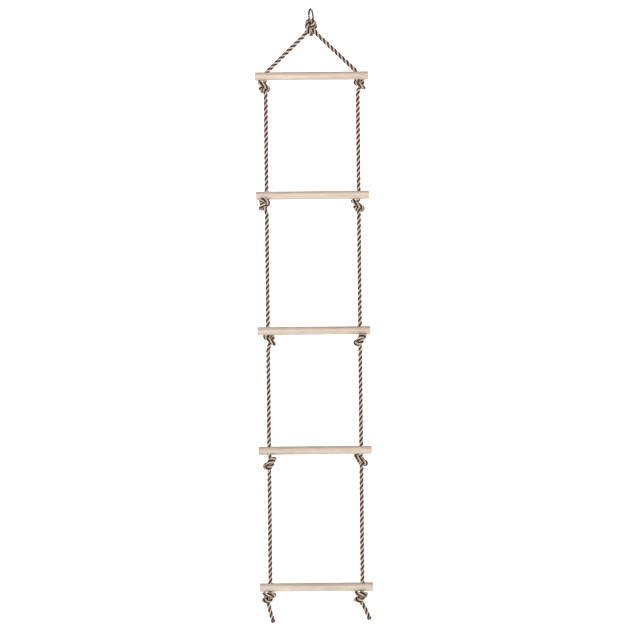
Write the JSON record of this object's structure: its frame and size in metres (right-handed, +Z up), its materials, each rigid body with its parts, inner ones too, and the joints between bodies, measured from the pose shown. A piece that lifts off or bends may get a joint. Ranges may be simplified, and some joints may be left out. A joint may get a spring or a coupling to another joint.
{
  "type": "escape rope ladder",
  "caption": "Hanging escape ladder: round wooden rungs on two knotted laid-rope sides that meet in a knot at a steel ring on top, with two short free rope ends at the bottom.",
  "frame": {"origin": "highest point inside the ring, where a hook bears", "axes": "+Z up along the hanging ladder, +X to the right as seen facing it, +Y away from the viewer"},
  "size_m": [0.35, 0.05, 1.8946],
  "materials": {
    "ring_steel": "satin",
    "rope": "matte",
    "rung_wood": "satin",
    "melted_rope": "satin"
  },
  "bodies": {
    "ring": {"hanging_ring": "ring_steel"},
    "eye": {"ring_loop": "rope"},
    "bridle": {"top_knot": "rope", "bridle_rope_left": "rope", "bridle_rope_right": "rope", "rung_1": "rung_wood", "knot_left_1": "rope", "knot_right_1": "rope"},
    "run_2_upper": {"rope_left_2_upper": "rope", "rope_right_2_upper": "rope"},
    "run_2_lower": {"rope_left_2_lower": "rope", "rope_right_2_lower": "rope", "knot_left_2": "rope", "knot_right_2": "rope"},
    "step_2": {"rung_2": "rung_wood"},
    "run_3_upper": {"rope_left_3_upper": "rope", "rope_right_3_upper": "rope"},
    "run_3_lower": {"rope_left_3_lower": "rope", "rope_right_3_lower": "rope", "knot_left_3": "rope", "knot_right_3": "rope"},
    "step_3": {"rung_3": "rung_wood"},
    "run_4_upper": {"rope_left_4_upper": "rope", "rope_right_4_upper": "rope"},
    "run_4_lower": {"rope_left_4_lower": "rope", "rope_right_4_lower": "rope", "knot_left_4": "rope", "knot_right_4": "rope"},
    "step_4": {"rung_4": "rung_wood"},
    "run_5_upper": {"rope_left_5_upper": "rope", "rope_right_5_upper": "rope"},
    "run_5_lower": {"rope_left_5_lower": "rope", "rope_right_5_lower": "rope", "knot_left_5": "rope", "knot_right_5": "rope"},
    "step_5": {"rung_5": "rung_wood"},
    "tail_left": {"tail_left": "rope", "tail_tip_left": "melted_rope"},
    "tail_right": {"tail_right": "rope", "tail_tip_right": "melted_rope"}
  },
  "joints": [
    {"name": "loop_sway", "type": "hinge", "parent": "ring", "child": "eye", "pos_m": [0, 0, -0.043], "axis": [0.2756, 0.9613, 0], "range_deg": [-40, 40]},
    {"name": "bridle_swing", "type": "hinge", "parent": "eye", "child": "bridle", "pos_m": [0, 0, -0.05], "axis": [0.9613, -0.2756, 0], "range_deg": [-55, 55]},
    {"name": "run_2_swing", "type": "hinge", "parent": "bridle", "child": "run_2_upper", "pos_m": [0, 0, -0.2843], "axis": [1, 0, 0], "range_deg": [-75, 75]},
    {"name": "run_2_fold", "type": "hinge", "parent": "run_2_upper", "child": "run_2_lower", "pos_m": [0, 0, -0.42115], "axis": [-1, 0, 0], "range_deg": [-110, 110]},
    {"name": "rung_2_lift", "type": "slide", "parent": "run_2_lower", "child": "step_2", "axis": [0, 0, 1], "range_m": [0, 0.06]},
    {"name": "run_3_swing", "type": "hinge", "parent": "run_2_lower", "child": "run_3_upper", "pos_m": [0, 0, -0.6523], "axis": [-1, 0, 0], "range_deg": [-75, 75]},
    {"name": "run_3_fold", "type": "hinge", "parent": "run_3_upper", "child": "run_3_lower", "pos_m": [0, 0, -0.81415], "axis": [1, 0, 0], "range_deg": [-110, 110]},
    {"name": "rung_3_lift", "type": "slide", "parent": "run_3_lower", "child": "step_3", "axis": [0, 0, 1], "range_m": [0, 0.06]},
    {"name": "run_4_swing", "type": "hinge", "parent": "run_3_lower", "child": "run_4_upper", "pos_m": [0, 0, -1.0703], "axis": [1, 0, 0], "range_deg": [-75, 75]},
    {"name": "run_4_fold", "type": "hinge", "parent": "run_4_upper", "child": "run_4_lower", "pos_m": [0, 0, -1.20765], "axis": [-1, 0, 0], "range_deg": [-110, 110]},
    {"name": "rung_4_lift", "type": "slide", "parent": "run_4_lower", "child": "step_4", "axis": [0, 0, 1], "range_m": [0, 0.06]},
    {"name": "run_5_swing", "type": "hinge", "parent": "run_4_lower", "child": "run_5_upper", "pos_m": [0, 0, -1.4393], "axis": [-1, 0, 0], "range_deg": [-75, 75]},
    {"name": "run_5_fold", "type": "hinge", "parent": "run_5_upper", "child": "run_5_lower", "pos_m": [0, 0, -1.60315], "axis": [1, 0, 0], "range_deg": [-110, 110]},
    {"name": "rung_5_lift", "type": "slide", "parent": "run_5_lower", "child": "step_5", "axis": [0, 0, 1], "range_m": [0, 0.06]},
    {"name": "tail_left_bend", "type": "hinge", "parent": "run_5_lower", "child": "tail_left", "pos_m": [-0.1475, 0, -1.8393], "axis": [0, 1, 0], "range_deg": [-40, 50], "stiffness_Nm_per_rad": 0.03},
    {"name": "tail_right_bend", "type": "hinge", "parent": "run_5_lower", "child": "tail_right", "pos_m": [0.146, 0, -1.8393], "axis": [0, 1, 0], "range_deg": [-40, 50], "stiffness_Nm_per_rad": 0.03}
  ]
}
